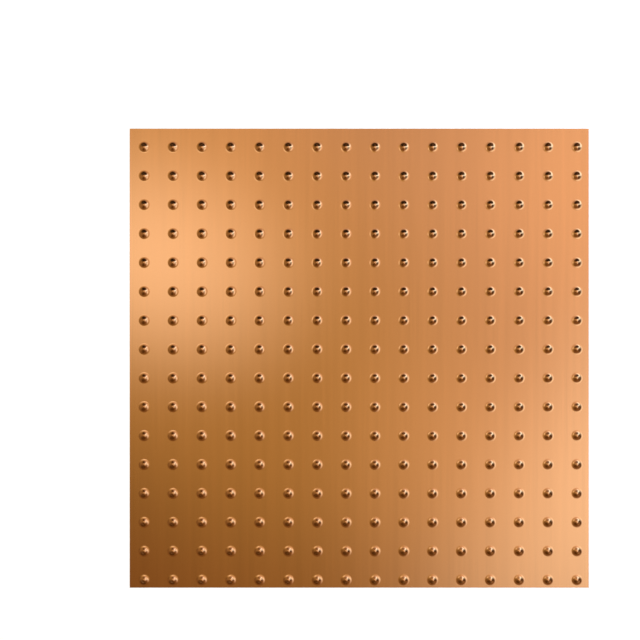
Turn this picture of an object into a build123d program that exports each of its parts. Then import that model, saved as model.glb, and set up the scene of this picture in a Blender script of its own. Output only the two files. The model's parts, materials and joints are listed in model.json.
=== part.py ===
from build123d import *
import os
from math import cos, radians, tan

# Vinyl ceiling tile: one square sheet of rigid vinyl, formed with a regular grid of small domes.
# The sheet lies flat with its back on Z = 0 and its domes up, and the origin is the middle of the
# back. Each dome is hollow behind, because the whole sheet was drawn up with the same wall.

# Driving dimensions, in millimetres and degrees
TILE_WIDTH = 603.25       # along X, to drop into a suspension grid of 24 inch squares
TILE_LENGTH = 603.25      # along Y
SHEET_THICKNESS = 0.76    # wall of the flat sheet and of the domes

DOME_PITCH = 37.9         # from one dome to the next, in both directions
DOME_HEIGHT = 2.7         # crown of a dome above the flat face
CROWN_RADIUS = 4.3        # rounded top of a dome, on the face
FLANK_ANGLE = 30.0        # straight flank of a dome, up from the flat face
FOOT_RADIUS = 7.4         # hollow curve where a dome runs out into the flat face

GRID_SHIFT_X = 1.7        # the sheet is trimmed off the centre of the dome grid
GRID_SHIFT_Y = -7.1
LEAST_BORDER = 2.0        # flat sheet left between the outermost domes and a cut edge

# Worked out from those: the foot reaches out as far as the height, the flank and both curves need
flank = radians(FLANK_ANGLE)
dome_radius = (DOME_HEIGHT + (CROWN_RADIUS + FOOT_RADIUS) * (1 / cos(flank) - 1)) / tan(flank)
crown_centre = (0, SHEET_THICKNESS + DOME_HEIGHT - CROWN_RADIUS)
foot_centre = (dome_radius, SHEET_THICKNESS + FOOT_RADIUS)


def domes_across(size, shift):
    """How many domes fit along a side, with the least border left at the nearer cut edge."""
    room = size - 2 * (abs(shift) + dome_radius + LEAST_BORDER)
    return int(room / DOME_PITCH) + 1


def dome_places():
    """The middle of every dome, on the back of the sheet."""
    columns = domes_across(TILE_WIDTH, GRID_SHIFT_X)
    rows = domes_across(TILE_LENGTH, GRID_SHIFT_Y)
    grid_centre = Pos(GRID_SHIFT_X, GRID_SHIFT_Y)
    return [grid_centre * place for place in GridLocations(DOME_PITCH, DOME_PITCH, columns, rows)]


def dome_skin(depth):
    """A dome's crown, flank and foot, at a depth below the face, as radius and height."""
    crown = CenterArc(crown_centre, CROWN_RADIUS - depth, 90 - FLANK_ANGLE, FLANK_ANGLE)
    foot = CenterArc(foot_centre, FOOT_RADIUS + depth, 270 - FLANK_ANGLE, FLANK_ANGLE)
    return crown, Line(crown @ 0, foot @ 0), foot


def dome():
    """One hollow dome out to its foot: the wall between the face and the back, turned about Z."""
    face = dome_skin(0)
    back = dome_skin(SHEET_THICKNESS)
    face_crown, face_foot = face[0], face[-1]
    back_crown, back_foot = back[0], back[-1]
    axis_edge = Line(back_crown @ 1, face_crown @ 1)
    foot_edge = Line(face_foot @ 1, back_foot @ 1)
    wall = make_face([*face, foot_edge, *back, axis_edge])
    return revolve(Plane.XZ * wall, Axis.Z)


def flat_sheet(places):
    """The flat of the tile, with a round gap for every dome."""
    outline = Rectangle(TILE_WIDTH, TILE_LENGTH) - [place * Circle(dome_radius) for place in places]
    return extrude(outline, SHEET_THICKNESS)


def ceiling_tile():
    """The whole tile as the one piece that it is."""
    places = dome_places()
    one_dome = dome()
    return flat_sheet(places).fuse(*[place * one_dome for place in places])


tile = ceiling_tile()
tile.label = "ceiling_tile"
os.makedirs("parts", exist_ok=True)
export_step(tile, "parts/ceiling_tile.step")
print("domes", len(dome_places()), "each", round(2 * dome_radius, 2), "across at the foot")
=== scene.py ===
# %% [markdown]
# # A copper-look ceiling tile of formed vinyl
# The real tile is one thin square sheet of rigid vinyl. A brushed copper film covers its face, and a mould
# has drawn a regular grid of small hollow domes up into it. The measured solid is loaded first and stays
# where it is. This lesson gives it a finer skin, a film, a plain back and a studio to lie in, all in metres.

# %% Load the measured tile
import json
from math import atan2, cos, hypot, pi, radians, sin, tan

import bmesh
import bpy
import numpy as np
from mathutils import Matrix, Vector


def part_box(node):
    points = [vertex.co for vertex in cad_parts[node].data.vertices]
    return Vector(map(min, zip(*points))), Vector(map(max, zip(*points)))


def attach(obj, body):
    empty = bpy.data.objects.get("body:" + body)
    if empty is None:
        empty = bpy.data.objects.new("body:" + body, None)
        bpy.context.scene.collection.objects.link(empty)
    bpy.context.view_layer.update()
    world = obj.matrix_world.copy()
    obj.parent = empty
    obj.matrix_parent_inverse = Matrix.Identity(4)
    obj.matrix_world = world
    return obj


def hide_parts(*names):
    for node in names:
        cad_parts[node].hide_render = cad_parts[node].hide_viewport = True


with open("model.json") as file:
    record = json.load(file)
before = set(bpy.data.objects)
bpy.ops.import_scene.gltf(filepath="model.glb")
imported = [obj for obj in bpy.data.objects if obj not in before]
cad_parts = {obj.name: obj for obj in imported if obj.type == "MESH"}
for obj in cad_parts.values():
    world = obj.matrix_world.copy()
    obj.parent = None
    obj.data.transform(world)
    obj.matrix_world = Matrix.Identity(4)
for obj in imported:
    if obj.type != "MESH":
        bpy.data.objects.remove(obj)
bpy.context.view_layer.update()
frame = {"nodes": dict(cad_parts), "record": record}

tile_low, tile_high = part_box("ceiling_tile")
print("tile from", tuple(tile_low), "to", tuple(tile_high))

# %% [markdown]
# ## Measures that the skin has to follow
# A skin that stands in for a solid has to lie exactly on it, so as much as possible is read from the frame.
# The flat face's mount gives the thickness of the sheet, the highest points of the solid are the crowns of
# the domes, and the curves of a dome are the only sizes that are written down here again.

# %% Read the sheet, the dome grid and the dome's curves
MICRON = 1e-6
CROWN_RADIUS = 0.0043           # rounded top of a dome, on the face
FOOT_RADIUS = 0.0074            # hollow curve where a dome runs out into the flat face
FLANK_ANGLE = radians(30)       # straight flank between the two


def numbers(items, name, width, kind=np.float32):
    """A property of many mesh items as one array."""
    values = np.empty(len(items) * width, kind)
    items.foreach_get(name, values)
    return values.reshape(-1, width)


mounts = {mount["name"]: mount for mount in frame["record"]["mounts"]}
sheet = mounts["face_border"]["pos_m"][2]
dome_height = tile_high.z - sheet
curve_room = (CROWN_RADIUS + FOOT_RADIUS) * (1 / cos(FLANK_ANGLE) - 1)
foot_reach = (dome_height + curve_room) / tan(FLANK_ANGLE)

solid_points = numbers(frame["nodes"]["ceiling_tile"].data.vertices, "co", 3)
crowns = solid_points[solid_points[:, 2] > tile_high.z - MICRON]
dome_columns = np.unique(crowns[:, 0].round(5)).astype(float)
dome_rows = np.unique(crowns[:, 1].round(5)).astype(float)
print("domes", len(dome_columns), "by", len(dome_rows), "reach of a foot", round(foot_reach * 1000, 2), "mm")

# %% [markdown]
# ## One dome as rings
# A dome is round, so it is a profile swept about its middle. The profile is a crown arc, a straight flank
# and a foot arc. A screw modifier could sweep it, but 256 domes are quicker as arrays. The rings are cut
# where the surface has turned by equal angles, because that is where a reflection bends. The back of the
# sheet is the same profile pushed in by the wall, with fewer rings.

# %% Profile of a dome at any depth in the wall
SPOKES = 28                     # round a dome, a multiple of four so that the corners of a cell get one
FACE_STEPS = 3                  # rings in each arc of the face
BACK_STEPS = 2                  # rings in each arc of the back


def dome_profile(steps, depth):
    """Radius, height and tilt of a dome's rings, from its crown out to its foot."""
    tilt = np.linspace(0, FLANK_ANGLE, steps + 1)
    crown = CROWN_RADIUS - depth
    foot = FOOT_RADIUS + depth
    crown_part = np.stack([crown * np.sin(tilt), tile_high.z - CROWN_RADIUS + crown * np.cos(tilt), tilt])
    foot_part = np.stack([foot_reach - foot * np.sin(tilt), sheet + FOOT_RADIUS - foot * np.cos(tilt), tilt])
    return np.concatenate([crown_part, foot_part[:, ::-1]], axis=1)


face_profile = dome_profile(FACE_STEPS, 0)
back_profile = dome_profile(BACK_STEPS, sheet)
print("rings on the face", face_profile.shape[1] - 1, "and on the back", back_profile.shape[1] - 1)

# %% [markdown]
# ## Cells that cover the tile
# Each dome sits in its own rectangular cell, and the cells together cover the tile. The spokes of a dome run
# on to the border of its cell, a quarter of them to each side. Neighbours place their border points by the
# same rule, so the points meet there and can be welded.

# %% Border points of the cells
CUT_ROUNDING = 0.00012          # the knife leaves the film's edge slightly rolled over

quarter_turn = np.linspace(-pi / 4, pi / 4, SPOKES // 4, endpoint=False)
spoke_shares = (1 + np.tan(quarter_turn)) / 2       # how far along a cell's side each spoke meets it


def cell_lines(inset):
    """Lines between the cells, across X and along Y, with the cut edges moved in by an inset."""
    across = (dome_columns[1:] + dome_columns[:-1]) / 2
    along = (dome_rows[1:] + dome_rows[:-1]) / 2
    return (np.concatenate([[tile_low.x + inset], across, [tile_high.x - inset]]),
            np.concatenate([[tile_low.y + inset], along, [tile_high.y - inset]]))


def cell_borders(inset):
    """The border points of every cell, spoke by spoke."""
    across, along = cell_lines(inset)
    left, front = np.meshgrid(across[:-1], along[:-1])
    right, rear = np.meshgrid(across[1:], along[1:])
    corners = np.stack([[left, front], [right, front], [right, rear], [left, rear]]).reshape(4, 2, -1, 1)
    next_corners = np.roll(corners, -1, axis=0)
    sides = corners * (1 - spoke_shares) + next_corners * spoke_shares
    return np.concatenate(sides, axis=-1).transpose(1, 2, 0)


print("border points in a cell", cell_borders(0).shape[1])

# %% [markdown]
# ## A whole side of the sheet
# The rings of a dome are the same in every cell, so one set is made and moved to each dome. The flat of a
# cell is a ring of quads from the dome's foot to the border. All cells also share one list of faces, which
# arrays repeat. The true normal of each point comes from the tilt of the profile.

# %% Points and faces of a side
UP = np.array([0.0, 0.0, 1.0])


def side_points(profile, height, inset, outward):
    """Points and true normals of one side: crown, rings and border for each dome."""
    radius, level, tilt = profile[:, 1:, None, None]
    turn = -3 * pi / 4 + 2 * pi * np.arange(SPOKES) / SPOKES
    spoke = np.stack([np.cos(turn), np.sin(turn), 0 * turn], axis=1)
    rings = (radius * spoke + level * UP).reshape(-1, 3)
    lean = (np.sin(tilt) * spoke + np.cos(tilt) * UP).reshape(-1, 3)
    x, y = np.meshgrid(dome_columns, dome_rows)
    middles = np.stack([x.ravel(), y.ravel(), 0 * x.ravel()], axis=1)
    domes = middles[:, None] + np.concatenate([[profile[1, 0] * UP], rings])
    flat = cell_borders(inset)
    border = np.concatenate([flat, np.full(flat.shape[:-1] + (1,), height)], axis=-1)
    points = np.concatenate([domes, border], axis=1)
    normals = np.concatenate([[UP], lean, np.tile(UP, (SPOKES, 1))])
    return points, outward * np.broadcast_to(normals, points.shape)


def side_faces(rings, domes, outward):
    """The faces of one side: a fan at the crown and quads out to the border, for each dome."""
    spoke = np.arange(SPOKES)
    after = (spoke + 1) % SPOKES
    fan = np.stack([0 * spoke, 1 + spoke, 1 + after, 1 + after], axis=1)
    band = np.stack([spoke, spoke + SPOKES, after + SPOKES, after], axis=1) + 1
    bands = [band + ring * SPOKES for ring in range(rings)]
    one_dome = np.concatenate([fan, *bands])[:, ::outward]
    count = 1 + SPOKES * (rings + 1)
    return (one_dome + count * np.arange(domes)[:, None, None]).reshape(-1, 4)


face_points, face_normals = side_points(face_profile, sheet, CUT_ROUNDING, 1)
back_points, back_normals = side_points(back_profile, 0.0, 0.0, -1)
face_quads = side_faces(face_profile.shape[1] - 1, len(face_points), 1)
back_quads = side_faces(back_profile.shape[1] - 1, len(back_points), -1)
print("faces on the face", len(face_quads), "and on the back", len(back_quads))

# %% [markdown]
# ## The cut edge
# The sheet is cut to size after forming, so its four edges are straight knife cuts. A bevel modifier would
# have to be kept off the domes, so a wall of quads joins the borders of the two sides instead. A very narrow
# slope at its top catches the light as a real cut edge does.

# %% Wall points along the four edges


def spread(lines):
    """The places where spokes meet an edge of the tile, from line to line."""
    return (lines[:-1, None] * (1 - spoke_shares) + lines[1:, None] * spoke_shares).ravel()


def edge_loop(inset, height):
    """Border points that lie on the cut edges, in order round the tile."""
    across, along = cell_lines(inset)
    front = [(x, along[0], height) for x in spread(across)]
    right = [(across[-1], y, height) for y in spread(along)]
    rear = [(x, along[-1], height) for x in spread(across[::-1])]
    left = [(across[0], y, height) for y in spread(along[::-1])]
    return np.array(front + right + rear + left)


wall_loops = [edge_loop(0.0, 0.0), edge_loop(0.0, sheet - CUT_ROUNDING), edge_loop(CUT_ROUNDING, sheet)]
loop_size = len(wall_loops[0])
step = np.arange(loop_size)
step_on = (step + 1) % loop_size
wall_quads = np.stack([step, step_on, step_on + loop_size, step + loop_size], axis=1)
wall_quads = np.concatenate([wall_quads, wall_quads + loop_size])
print("quads in the cut edge", len(wall_quads))

# %% [markdown]
# ## Weld the skin
# The arrays become one mesh, and welding the doubled border points closes it. Three material slots tell the
# film, the plain back and the cut edge apart. The true normals ride along on the points for the next step.

# %% Build the tile's skin
FILM, BACK, EDGE = range(3)


def tile_skin():
    """The whole tile as one closed mesh."""
    walls = np.concatenate(wall_loops)
    points = np.concatenate([face_points.reshape(-1, 3), back_points.reshape(-1, 3), walls])
    normals = np.concatenate([face_normals.reshape(-1, 3), back_normals.reshape(-1, 3), 0 * walls])
    back_start = face_points.shape[0] * face_points.shape[1]
    wall_start = back_start + back_points.shape[0] * back_points.shape[1]
    quads = np.concatenate([face_quads, back_quads + back_start, wall_quads + wall_start])
    slots = np.repeat([FILM, BACK, EDGE], [len(face_quads), len(back_quads), len(wall_quads)])
    mesh = bpy.data.meshes.new("tile_skin")
    mesh.from_pydata(points, [], [list(dict.fromkeys(quad)) for quad in quads.tolist()])
    mesh.polygons.foreach_set("material_index", slots.astype(np.int32))
    mesh.polygons.foreach_set("use_smooth", slots != EDGE)
    mesh.attributes.new("true_normal", "FLOAT_VECTOR", "POINT").data.foreach_set("vector", normals.ravel())
    welded = bmesh.new()
    welded.from_mesh(mesh)
    bmesh.ops.remove_doubles(welded, verts=welded.verts, dist=MICRON)
    open_edges = sum(not edge.is_manifold for edge in welded.edges)
    welded.to_mesh(mesh)
    welded.free()
    triangles = len(mesh.loops) - 2 * len(mesh.polygons)
    print("points", len(mesh.vertices), "triangles", triangles, "open edges", open_edges)
    return mesh


skin = tile_skin()
tile = bpy.data.objects.new("tile_skin", skin)
bpy.context.collection.objects.link(tile)
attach(tile, "root")
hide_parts("ceiling_tile")

# %% [markdown]
# ## True normals
# A reflective film shows every facet. Many more rings would hide them, but the exact normals of the arcs do
# it at no cost. They are moved from the points to the corners of the faces, and the cut edge stays flat.

# %% Set the normals on the skin
corner_points = numbers(skin.loops, "vertex_index", 1, np.int32).ravel()
face_sizes = numbers(skin.polygons, "loop_total", 1, np.int32).ravel()
corner_slots = np.repeat(numbers(skin.polygons, "material_index", 1, np.int32), face_sizes, axis=0)
corner_flats = np.repeat(numbers(skin.polygons, "normal", 3), face_sizes, axis=0)

carried = numbers(skin.attributes["true_normal"].data, "vector", 3)[corner_points]
skin.normals_split_custom_set(np.where(corner_slots == EDGE, corner_flats, carried).tolist())
skin.attributes.remove(skin.attributes["true_normal"])
print("corners with a normal of their own", len(carried))

# %% [markdown]
# ## A map for the finish
# A finish that is drawn by nodes can be kept as a picture only through a flat map of the surface. The sheet
# is nearly flat, so looking straight down on it gives one. The face takes most of the map, because its
# grain is fine, and the plain back and the cut edge share the strip beside it.

# %% Lay the skin out flat
FACE_SHARE = 0.80               # side of the face's square on the map
BACK_SHARE = 0.17               # side of the back's square, and width of the strip
MAP_MARGIN = 0.01
WALL_LENGTH = 0.70              # of a wall on the map, along the strip
WALL_FILL = 0.80                # of a quarter of the strip, the rest keeps the walls apart


def lay_out():
    """One flat place on the map for every corner of the skin."""
    place = numbers(skin.vertices, "co", 3)[corner_points]
    share = (place - np.array(tile_low)) / (np.array(tile_high) - np.array(tile_low))
    on_face = MAP_MARGIN + FACE_SHARE * share[:, :2]
    strip = FACE_SHARE + 2 * MAP_MARGIN
    on_back = np.array([strip, MAP_MARGIN]) + BACK_SHARE * share[:, :2]
    normal_x, normal_y = corner_flats[:, 0], corner_flats[:, 1]
    faces_x = np.abs(normal_x) > np.abs(normal_y)
    which_wall = faces_x + 2 * (normal_x + normal_y > 0)
    wall_u = strip + BACK_SHARE * (which_wall + WALL_FILL * place[:, 2] / sheet) / 4
    wall_v = BACK_SHARE + 3 * MAP_MARGIN + WALL_LENGTH * np.where(faces_x, share[:, 1], share[:, 0])
    on_edge = np.stack([wall_u, wall_v], axis=1)
    return np.where(corner_slots == FILM, on_face, np.where(corner_slots == BACK, on_back, on_edge))


flat_map = skin.uv_layers.new(name="OFBake")
flat_map.uv.foreach_set("vector", lay_out().astype(np.float32).ravel())
print("corners on the map", len(flat_map.uv))

# %% [markdown]
# ## Shader maths as plain expressions
# A finish is a sum of a few patterns. Nodes can add and multiply, but wiring them by hand hides the sum, so
# a small class wraps a socket and lets Python's own operators add the nodes. Everything else that a
# finish needs comes from one method, which takes a node's kind, its settings and its sockets.

# %% Wires that arithmetic works on


class Wire:
    """An output socket. An operator on it adds the Math node that does the sum."""

    def __init__(self, nodes, socket):
        self.nodes = nodes
        self.socket = socket

    def math(self, operation, other):
        """The Math node for this wire and another wire or number."""
        return self.nodes.node("ShaderNodeMath", {"operation": operation}, {0: self, 1: other})

    def __add__(self, other):
        return self.math("ADD", other)

    def __mul__(self, other):
        return self.math("MULTIPLY", other)

    __radd__ = __add__
    __rmul__ = __mul__


class Nodes:
    """A node tree under construction."""

    def __init__(self, tree):
        self.tree = tree

    def feed(self, node, sockets):
        """Sets sockets to values, or links them to wires."""
        for name, value in sockets.items():
            if isinstance(value, Wire):
                self.tree.links.new(value.socket, node.inputs[name])
            else:
                node.inputs[name].default_value = value

    def node(self, kind, settings, sockets, output=0):
        """Adds a node with its settings and sockets, and returns one of its outputs."""
        made = self.tree.nodes.new(kind)
        for name, value in settings.items():
            setattr(made, name, value)
        self.feed(made, sockets)
        return Wire(self, made.outputs[output])

    def noise(self, spacing, detail=2.0):
        """Soft noise about 0.5, with a grain of this size along X, Y and Z, or 0 to leave an axis out."""
        place = self.node("ShaderNodeTexCoord", {}, {}, "Object")
        density = [1 / size if size else 0.0 for size in spacing]
        spaced = self.node("ShaderNodeVectorMath", {"operation": "MULTIPLY"}, {0: place, 1: density})
        return self.node("ShaderNodeTexNoise", {}, {"Vector": spaced, "Scale": 1.0, "Detail": detail}, "Fac")

    def fade(self, value, start, end):
        """A soft step from 0 at the start to 1 at the end."""
        return self.node("ShaderNodeMapRange", {"interpolation_type": "SMOOTHSTEP"},
                         {"Value": value, "From Min": start, "From Max": end})

    def blend(self, share, first, second):
        """A colour between two others."""
        return self.node("ShaderNodeMix", {"data_type": "RGBA"}, {0: share, 6: first, 7: second}, 2)


class Finish(Nodes):
    """A material under construction, with its surface shader."""

    def __init__(self, name):
        self.material = bpy.data.materials.new(name)
        self.material.use_nodes = True
        super().__init__(self.material.node_tree)
        self.surface = self.tree.nodes["Principled BSDF"]


def shade(colour, factor=1.0):
    """A colour made lighter or darker, as a socket takes it."""
    return tuple(part * factor for part in colour) + (1.0,)


print("nodes ready")

# %% [markdown]
# ## Brushed copper film
# The face is a film with a metallic layer, brushed in one direction and covered by clear vinyl. A picture
# of brushed metal would repeat over so large a tile, so the lines are noise drawn out a long way along Y,
# the way of the brushing. Fine and broad lines go into the bump, where they spread reflections across the
# grain, and they change the colour and the gloss a little.

# %% Make the film
COPPER = (0.72, 0.33, 0.125)
LINE_TONE = 0.13                # how far the brushed lines go lighter and darker
LEAST_ROUGHNESS = 0.12
LINE_DEPTH = 0.000006           # of the bump
FINE_LINES = (0.0012, 0.12, 0)  # how far apart the lines are along X, and how long along Y
BROAD_LINES = (0.01, 0.60, 0)
CLOUDS = (0.05, 0.05, 0)        # faint, in all directions


def copper_film():
    """The brushed film under its clear coat."""
    film = Finish("copper_film")
    fine_lines = film.noise(FINE_LINES)
    broad_lines = film.noise(BROAD_LINES)
    clouds = film.noise(CLOUDS)
    tone = broad_lines * 0.55 + fine_lines * 0.4 + clouds * 0.05
    colour = film.blend(tone, shade(COPPER, 1 - LINE_TONE), shade(COPPER, 1 + LINE_TONE))
    roughness = LEAST_ROUGHNESS + broad_lines * 0.05 + fine_lines * 0.03
    relief = fine_lines + broad_lines * 0.5
    bump = film.node("ShaderNodeBump", {}, {"Strength": 1.0, "Distance": LINE_DEPTH, "Height": relief})
    film.feed(film.surface, {"Base Color": colour, "Roughness": roughness, "Normal": bump, "Metallic": 1.0,
                             "Coat Weight": 0.3, "Coat Roughness": 0.12, "Coat IOR": 1.5})
    return film.material


skin.materials.append(copper_film())
print("finish of the face", skin.materials[FILM].name)

# %% [markdown]
# ## Plain vinyl behind the film
# The back and the cut edge show the sheet itself, an off-white rigid vinyl. Its back took up the faint
# texture of the rollers, and the knife left fine upright marks in the edge, so both are a matte plastic with
# a little bump of their own. One function makes both, with a grain that is even or drawn out along Z.

# %% Make the back and the cut edge
VINYL = (0.74, 0.72, 0.67)
CUT_VINYL = (0.70, 0.67, 0.61)
ROLLER_GRAIN = (0.0012, 0.0012, 0.0012)
KNIFE_MARKS = (0.0004, 0.0004, 0.003)
VINYL_CLOUDS = (0.06, 0.06, 0.06)
VINYL_TONE = 0.07               # how far its colour goes lighter and darker
VINYL_DEPTH = 0.00003           # of the bump


def plain_vinyl(name, colour, grain, roughness):
    """Matte vinyl with a grain of its own."""
    vinyl = Finish(name)
    fine = vinyl.noise(grain, 3.0)
    clouds = vinyl.noise(VINYL_CLOUDS)
    tone = fine * 0.5 + clouds * 0.5
    tint = vinyl.blend(tone, shade(colour, 1 - VINYL_TONE), shade(colour, 1 + VINYL_TONE))
    bump = vinyl.node("ShaderNodeBump", {}, {"Strength": 0.6, "Distance": VINYL_DEPTH, "Height": fine})
    vinyl.feed(vinyl.surface, {"Base Color": tint, "Roughness": roughness + fine * 0.1, "Normal": bump})
    return vinyl.material


skin.materials.append(plain_vinyl("vinyl_back", VINYL, ROLLER_GRAIN, 0.5))
skin.materials.append(plain_vinyl("vinyl_cut_edge", CUT_VINYL, KNIFE_MARKS, 0.6))
print("all finishes", [material.name for material in skin.materials])

# %% [markdown]
# ## A floor to lie on
# The tile lies on a plain white floor, wide enough to fill the view from any side. More light would turn the
# floor white and burn out the tile, so the floor glows a little instead, and only for the rays that look at
# it. The glow adds no light to the tile, and what the lamps add keeps the tile's shadow.

# %% Lay the floor
FLOOR_RADIUS = 30.0
FLOOR_DROP = 0.0002             # keeps the floor off the tile's back
FLOOR_COLOUR = (0.9, 0.9, 0.9)
FLOOR_GLOW = 0.65


def white_floor():
    """A matte floor that glows for the rays that look at it."""
    floor_finish = Finish("white_floor")
    camera_ray, glossy_ray, clear_ray = [floor_finish.node("ShaderNodeLightPath", {}, {}, f"Is {kind} Ray")
                                         for kind in ("Camera", "Glossy", "Transmission")]
    glow = (camera_ray + glossy_ray + clear_ray) * FLOOR_GLOW
    floor_finish.feed(floor_finish.surface, {"Base Color": shade(FLOOR_COLOUR), "Roughness": 0.9,
                                             "Emission Color": glow, "Emission Strength": 1.0})
    return floor_finish.material


disc = bmesh.new()
bmesh.ops.create_circle(disc, cap_ends=True, segments=96, radius=FLOOR_RADIUS)
floor_mesh = bpy.data.meshes.new("floor")
disc.to_mesh(floor_mesh)
disc.free()
floor_mesh.materials.append(white_floor())
floor = bpy.data.objects.new("floor", floor_mesh)
floor.location.z = tile_low.z - FLOOR_DROP
bpy.context.collection.objects.link(floor)
print("floor", FLOOR_RADIUS, "m in radius, at", floor.location.z)

# %% [markdown]
# ## Soft studio light
# A metallic face looks like what it reflects, so the lamps are placed as a photographer would place them.
# Bare lamps would leave hard dots in the domes, so each is a soft oval box that fades to its rim. Cool
# windows on the right and left make the highlights, and dimmer boxes fill in from overhead and the sides. A
# lamp's place is how far it stands across and up from straight overhead, in degrees, as the tile sees it.

# %% Place the soft boxes
LAMP_DISTANCE = 1.44


def facing_tile(place, distance, roll):
    """A place on a big dome over the tile, turned to face the tile's middle."""
    across, up = place
    lean = radians(hypot(across, up))
    way = atan2(up, across)
    aim = Vector((sin(lean) * cos(way), sin(lean) * sin(way), cos(lean)))
    side = Vector((0, 1, 0)).cross(aim).normalized()
    turn = Matrix((side, aim.cross(side), aim)).transposed().to_4x4()
    return Matrix.Translation(distance * aim) @ turn @ Matrix.Rotation(radians(roll), 4, "Z")


def span(degrees, distance):
    """How wide a flat thing is that covers this angle at this distance."""
    return 2 * distance * tan(radians(degrees) / 2)


def soft_box(name, place, size, roll, light, core=0.0):
    """An oval lamp, even in its core and fading to its rim. Its light is 1 where white shows as white."""
    lamp = bpy.data.lights.new(name, "AREA")
    lamp.shape = "ELLIPSE"
    lamp.size = span(size[0], LAMP_DISTANCE)
    lamp.size_y = span(size[1], LAMP_DISTANCE)
    lamp.energy = pi * (pi / 4) * lamp.size * lamp.size_y
    lamp.color = light
    lamp.use_nodes = True
    cloth = Nodes(lamp.node_tree)
    spot = cloth.node("ShaderNodeNewGeometry", {}, {}, "Parametric")
    middle = (0.5, 0.5, 0)
    outward = cloth.node("ShaderNodeVectorMath", {"operation": "DISTANCE"}, {0: spot, 1: middle}, "Value")
    glow = cloth.fade(outward, 0.5, 0.5 * core)
    cloth.feed(lamp.node_tree.nodes["Emission"], {"Strength": glow})
    box = bpy.data.objects.new(name, lamp)
    box.matrix_world = facing_tile(place, LAMP_DISTANCE, roll)
    bpy.context.collection.objects.link(box)
    print(name, "at", [round(part, 2) for part in box.matrix_world.translation])


soft_box("right_strip", place=(40, -5), size=(45, 90), roll=-45, light=(0.65, 1.05, 1.55))
soft_box("right_window", place=(50, 30), size=(90, 30), roll=-15, light=(1.45, 2.5, 4.2))
soft_box("right_fill", place=(27, -8), size=(65, 85), roll=5, light=(0.9, 0.85, 0.9))
soft_box("front_fill", place=(10, -45), size=(120, 45), roll=-20, light=(0.15, 0.1, 0.05), core=0.45)
soft_box("overhead_scrim", place=(-17, 6), size=(95, 53), roll=-40, light=(0.45, 0.4, 0.2), core=0.3)
soft_box("overhead_rear", place=(15, 27), size=(95, 60), roll=-10, light=(0.65, 0.6, 0.6), core=0.2)
soft_box("left_window", place=(-17.5, 7.5), size=(28, 40), roll=70, light=(0.9, 1.1, 1.5))
soft_box("left_fill", place=(-65, 5), size=(70, 100), roll=40, light=(0.3, 0.25, 0.15))

# %% [markdown]
# ## A black card
# A photographer holds up black cards to give a shiny thing dark edges. One card behind the tile, which only
# reflections see, gives each dome the dark cap that shows how it is rounded. A dark patch painted on the
# domes would do it for one view only.

# %% Hang the card
CARD_DISTANCE = 1.75
CARD_PLACE = (-10, 62)          # across and up from straight overhead, as for the lamps
CARD_SIZE = (110, 14)
CARD_ROLL = 15
CARD_BLACK = (0.01, 0.01, 0.01)

card_finish = Finish("card_black")
card_finish.feed(card_finish.surface, {"Base Color": shade(CARD_BLACK), "Roughness": 1.0})
square = bmesh.new()
bmesh.ops.create_grid(square, x_segments=1, y_segments=1, size=0.5)
card_mesh = bpy.data.meshes.new("card_behind")
square.to_mesh(card_mesh)
square.free()
card_mesh.materials.append(card_finish.material)
card = bpy.data.objects.new("card_behind", card_mesh)
card_width, card_height = [span(angle, CARD_DISTANCE) for angle in CARD_SIZE]
card_scale = Matrix.Diagonal((card_width, card_height, 1, 1))
card.matrix_world = facing_tile(CARD_PLACE, CARD_DISTANCE, CARD_ROLL) @ card_scale
card.visible_camera = False
card.visible_diffuse = False
card.visible_shadow = False
bpy.context.collection.objects.link(card)
print("card", round(card_width, 2), "by", round(card_height, 2), "m")

# %% [markdown]
# ## The room
# Between the lamps the film reflects the room. It is dim and warm overhead and light along the horizon, like
# a studio with pale walls, so the film doesn't go dark in a low view from the side. A world with one colour
# would have to choose between the two.

# %% Grade the room
ROOM = (0.11, 0.06, 0.015)
HORIZON = (0.62, 0.60, 0.56)
WALL_TOP = (0.18, 0.34)         # from the pale walls to the dim room, as the sine of the height angle

world = bpy.data.worlds.new("room")
world.use_nodes = True
bpy.context.scene.world = world
room = Nodes(world.node_tree)
direction = room.node("ShaderNodeTexCoord", {}, {}, "Generated")
height = room.node("ShaderNodeSeparateXYZ", {}, {0: direction}, "Z")
room_colour = room.blend(room.fade(height, *WALL_TOP), shade(HORIZON), shade(ROOM))
room.feed(world.node_tree.nodes["Background"], {"Color": room_colour})
print("room graded from", HORIZON, "to", ROOM)

# %% [markdown]
# ## A camera straight above
# The tile lies flat and is seen square on from above, so its edges stay straight and its pitch even. The
# camera hangs where the middle of the picture is, a little beside the tile's own middle, and its lens is
# worked out from how much of the floor the picture takes in.

# %% Hang the camera
PICTURE_WIDTH = 0.8408          # of the floor that the picture takes in
PICTURE_MIDDLE = (-0.0516, 0.0501)
CAMERA_HEIGHT = 1.8

camera_data = bpy.data.cameras.new("camera")
camera_data.lens = camera_data.sensor_width * (CAMERA_HEIGHT - sheet) / PICTURE_WIDTH
camera = bpy.data.objects.new("camera", camera_data)
camera.location = (*PICTURE_MIDDLE, CAMERA_HEIGHT)
bpy.context.collection.objects.link(camera)
bpy.context.scene.camera = camera
bpy.context.scene.view_settings.view_transform = "Standard"
print("lens", round(camera_data.lens, 1), "mm")
